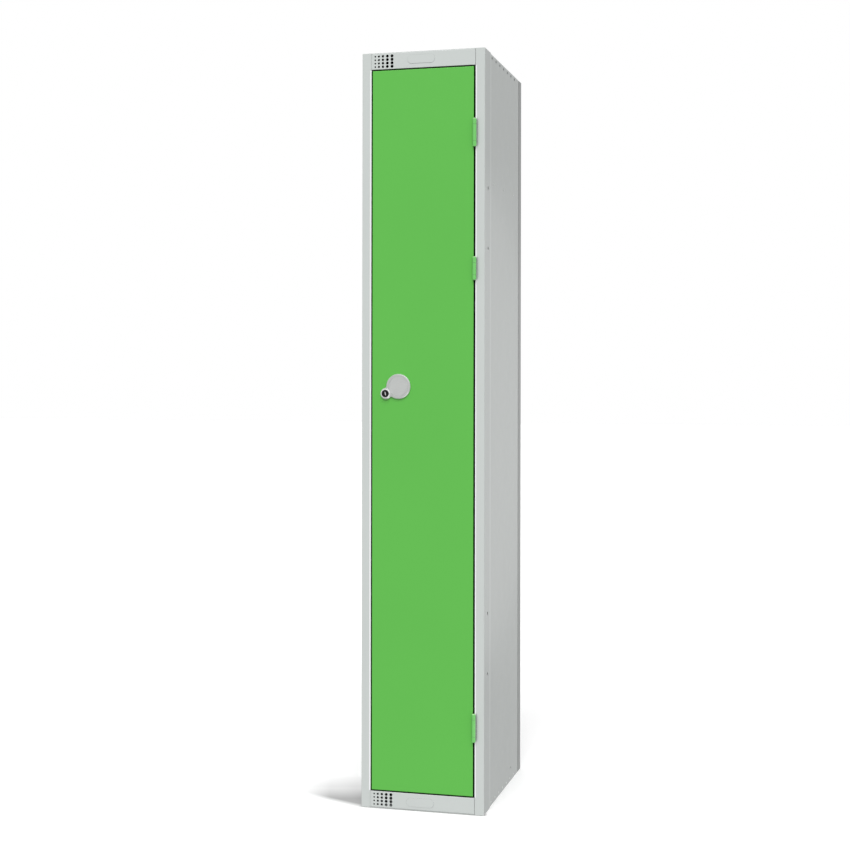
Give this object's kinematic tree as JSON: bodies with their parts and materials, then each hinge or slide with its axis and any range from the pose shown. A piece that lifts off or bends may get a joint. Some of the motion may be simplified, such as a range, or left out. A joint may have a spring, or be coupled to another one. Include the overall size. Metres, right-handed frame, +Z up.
{
  "type": "school locker",
  "caption": "Tall steel locker with one full-height hinged door, round pull with cam lock, perforated rails, hat shelf and coat hook.",
  "frame": {"origin": "on the floor, under the middle of the carcass", "axes": "+Z up, front and door face -Y, +X to the right seen from the front"},
  "size_m": [0.3, 0.4601, 1.8],
  "materials": {
    "carcass_grey": "satin powder coat",
    "side_grey": "satin powder coat, paler over the weld line behind the front band",
    "back_grey": "darker grey powder coat",
    "door_green": "satin powder coat",
    "hinge_green": "paler, glossier coat over the knuckles",
    "cap_green": "thin pale coat over the pin heads",
    "rivet_steel": "painted with the carcass, bare and dark along the top",
    "hook_zinc": "bright zinc plated",
    "buffer_rubber": "matt",
    "pull_satin": "satin anodised",
    "number_satin": "satin, fine grain",
    "lock_chrome": "bright plated",
    "lock_black": "black nickel, satin"
  },
  "bodies": {
    "carcass": {"side_panel_left": "side_grey", "side_panel_right": "side_grey", "back_panel": "back_grey", "roof_panel": "carcass_grey", "floor_panel": "carcass_grey", "hat_shelf": "carcass_grey", "top_rail": "carcass_grey", "bottom_rail": "carcass_grey", "side_rivets_left": "rivet_steel", "side_rivets_right": "rivet_steel", "back_rivets": "rivet_steel", "door_buffers": "buffer_rubber", "coat_hook": "hook_zinc", "hook_rivets": "rivet_steel", "hinge_frame_leaf_bottom": "hinge_green", "hinge_frame_leaf_middle": "hinge_green", "hinge_frame_leaf_top": "hinge_green", "hinge_pin_bottom": "cap_green", "hinge_pin_middle": "cap_green", "hinge_pin_top": "cap_green"},
    "door": {"door_skin": "door_green", "door_stiffener": "door_green", "pull_plate": "pull_satin", "number_disc": "number_satin", "pull_screws": "hook_zinc", "lock_housing": "lock_chrome", "lock_washer": "hook_zinc", "lock_nut": "hook_zinc", "hinge_door_leaf_bottom": "hinge_green", "hinge_door_leaf_middle": "hinge_green", "hinge_door_leaf_top": "hinge_green"},
    "lock": {"lock_plug": "lock_black", "key_shutter": "lock_chrome", "lock_cam": "hook_zinc", "cam_screw": "hook_zinc"}
  },
  "joints": [
    {"name": "door_hinge", "type": "hinge", "parent": "carcass", "child": "door", "pos_m": [0.1263, -0.2296, 0.9], "axis": [0, 0, 1], "range_deg": [0, 170]},
    {"name": "lock_turn", "type": "hinge", "parent": "door", "child": "lock", "pos_m": [-0.0897, -0.2, 0.9879], "axis": [0, 1, 0], "range_deg": [0, 90]}
  ]
}
